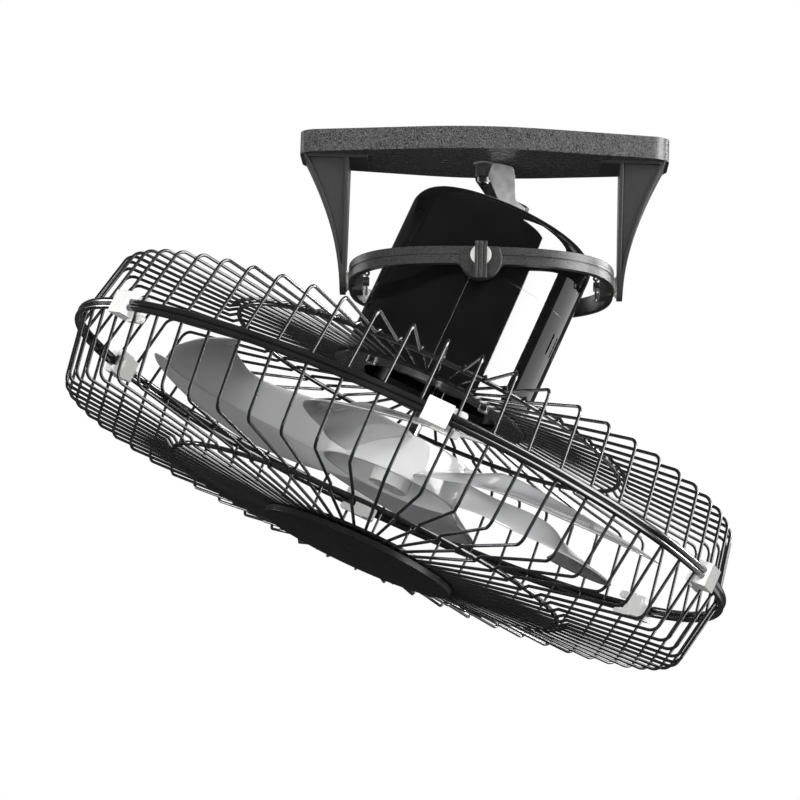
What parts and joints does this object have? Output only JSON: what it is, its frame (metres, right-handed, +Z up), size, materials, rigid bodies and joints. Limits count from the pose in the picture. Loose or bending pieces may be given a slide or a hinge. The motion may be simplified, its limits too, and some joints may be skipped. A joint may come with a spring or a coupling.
{
  "type": "orbital ceiling fan",
  "caption": "Ceiling fan with a caged head that hangs in a gimbal ring under a ceiling plate, leans to one side and is carried round in a circle by a crank behind its motor.",
  "frame": {"origin": "middle of the ceiling face of the ceiling plate", "axes": "+Z is up, out of the ceiling face, and X runs along the two legs, toward the leg that the head's back leans to"},
  "size_m": [0.4225, 0.4515, 0.3347],
  "materials": {
    "galvanised": "dull zinc",
    "grained_grey": "fine grain",
    "satin_grey": "satin",
    "moulded_grey": "moulded texture",
    "steel": "zinc plated",
    "bright_steel": "polished",
    "dark_steel": "blackened",
    "nylon": "smooth",
    "ivory": "smooth",
    "gloss_black": "high gloss",
    "black_paint": "gloss",
    "white_plastic": "smooth",
    "smoke_plastic": "clear gloss",
    "cast_alloy": "as cast",
    "laminations": "stacked sheet",
    "copper": "enamelled wire",
    "brass": "machined"
  },
  "bodies": {
    "base": {"ceiling_bracket": "galvanised", "ceiling_plate": "grained_grey", "plate_screws": "steel", "terminal_block": "ivory", "spindle_bush": "nylon", "leg_left": "satin_grey", "leg_right": "satin_grey", "leg_screws": "steel", "leg_pivot_pins": "steel", "leg_split_pins": "bright_steel", "thrust_washers": "nylon"},
    "ring": {"gimbal_ring": "moulded_grey", "leg_pivot_bushes": "nylon", "head_pivot_bushes": "nylon"},
    "head": {"head_pivot_knobs": "moulded_grey", "upper_housing": "gloss_black", "housing_screws": "steel", "lower_housing_left": "gloss_black", "lower_housing_right": "gloss_black", "rear_motor_bracket": "cast_alloy", "front_motor_bracket": "cast_alloy", "stator_core": "laminations", "stator_windings": "copper", "motor_bolts": "steel", "rear_bearing": "bright_steel", "front_bearing": "bright_steel", "capacitor": "ivory", "gearbox_case": "satin_grey", "gearbox_cover": "satin_grey", "gearbox_screws": "steel", "gear_axles": "steel", "rear_guard_plate": "black_paint", "rear_guard_wires": "black_paint", "rear_guard_ring": "black_paint", "rear_guard_hoop": "black_paint", "front_guard_hoop": "black_paint", "front_guard_wires": "black_paint", "front_guard_ring": "black_paint", "front_guard_plate": "black_paint", "front_cap": "gloss_black", "cap_screw": "steel", "guard_clips": "white_plastic", "guard_screws": "steel"},
    "rotor": {"motor_shaft": "bright_steel", "rotor_core": "laminations", "shaft_pinion": "brass", "drive_pin": "steel", "fan_blades": "smoke_plastic", "blade_nut": "white_plastic"},
    "first_gear": {"first_gear": "nylon"},
    "second_gear": {"second_gear": "nylon"},
    "output_gear": {"output_gear": "nylon"},
    "crank": {"output_shaft": "steel", "clutch_spring": "steel", "crank_bracket": "galvanised", "crank_arm": "dark_steel", "spindle_sleeve": "dark_steel", "spindle_bolt": "steel"}
  },
  "joints": [
    {"name": "ring_tilt", "type": "hinge", "parent": "base", "child": "ring", "pos_m": [0, 0, -0.0934], "axis": [1, 0, 0], "range_deg": [-19.3, 26.3]},
    {"name": "head_tilt", "type": "hinge", "parent": "ring", "child": "head", "pos_m": [0, 0, -0.0934], "axis": [0, 0.9981, -0.061], "range_deg": [-45.2, 0.2]},
    {"name": "blade_spin", "type": "hinge", "parent": "head", "child": "rotor", "pos_m": [0, 0, -0.0934], "axis": [0.3843, 0.0564, 0.9215], "continuous": true},
    {"name": "first_gear_turn", "type": "hinge", "parent": "head", "child": "first_gear", "pos_m": [0.01546, 0.01875, -0.08472], "axis": [0.3843, 0.0564, 0.9215], "continuous": true},
    {"name": "second_gear_turn", "type": "hinge", "parent": "head", "child": "second_gear", "pos_m": [-0.00163, 0.02365, -0.07246], "axis": [0.3843, 0.0564, 0.9215], "continuous": true},
    {"name": "output_turn", "type": "hinge", "parent": "head", "child": "output_gear", "pos_m": [0.00961, 0.00141, -0.07036], "axis": [0.3843, 0.0564, 0.9215], "continuous": true},
    {"name": "crank_turn", "type": "hinge", "parent": "head", "child": "crank", "pos_m": [0.01921, 0.00282, -0.04733], "axis": [0.3843, 0.0564, 0.9215], "range_deg": [-1.2, 162]}
  ],
  "couplings": [
    {"joint": "first_gear_turn", "follows": "blade_spin", "ratio": -0.2},
    {"joint": "second_gear_turn", "follows": "blade_spin", "ratio": 0.04},
    {"joint": "output_turn", "follows": "blade_spin", "ratio": -0.0066667},
    {"joint": "crank_turn", "follows": "head_tilt", "ratio": -3.582}
  ]
}
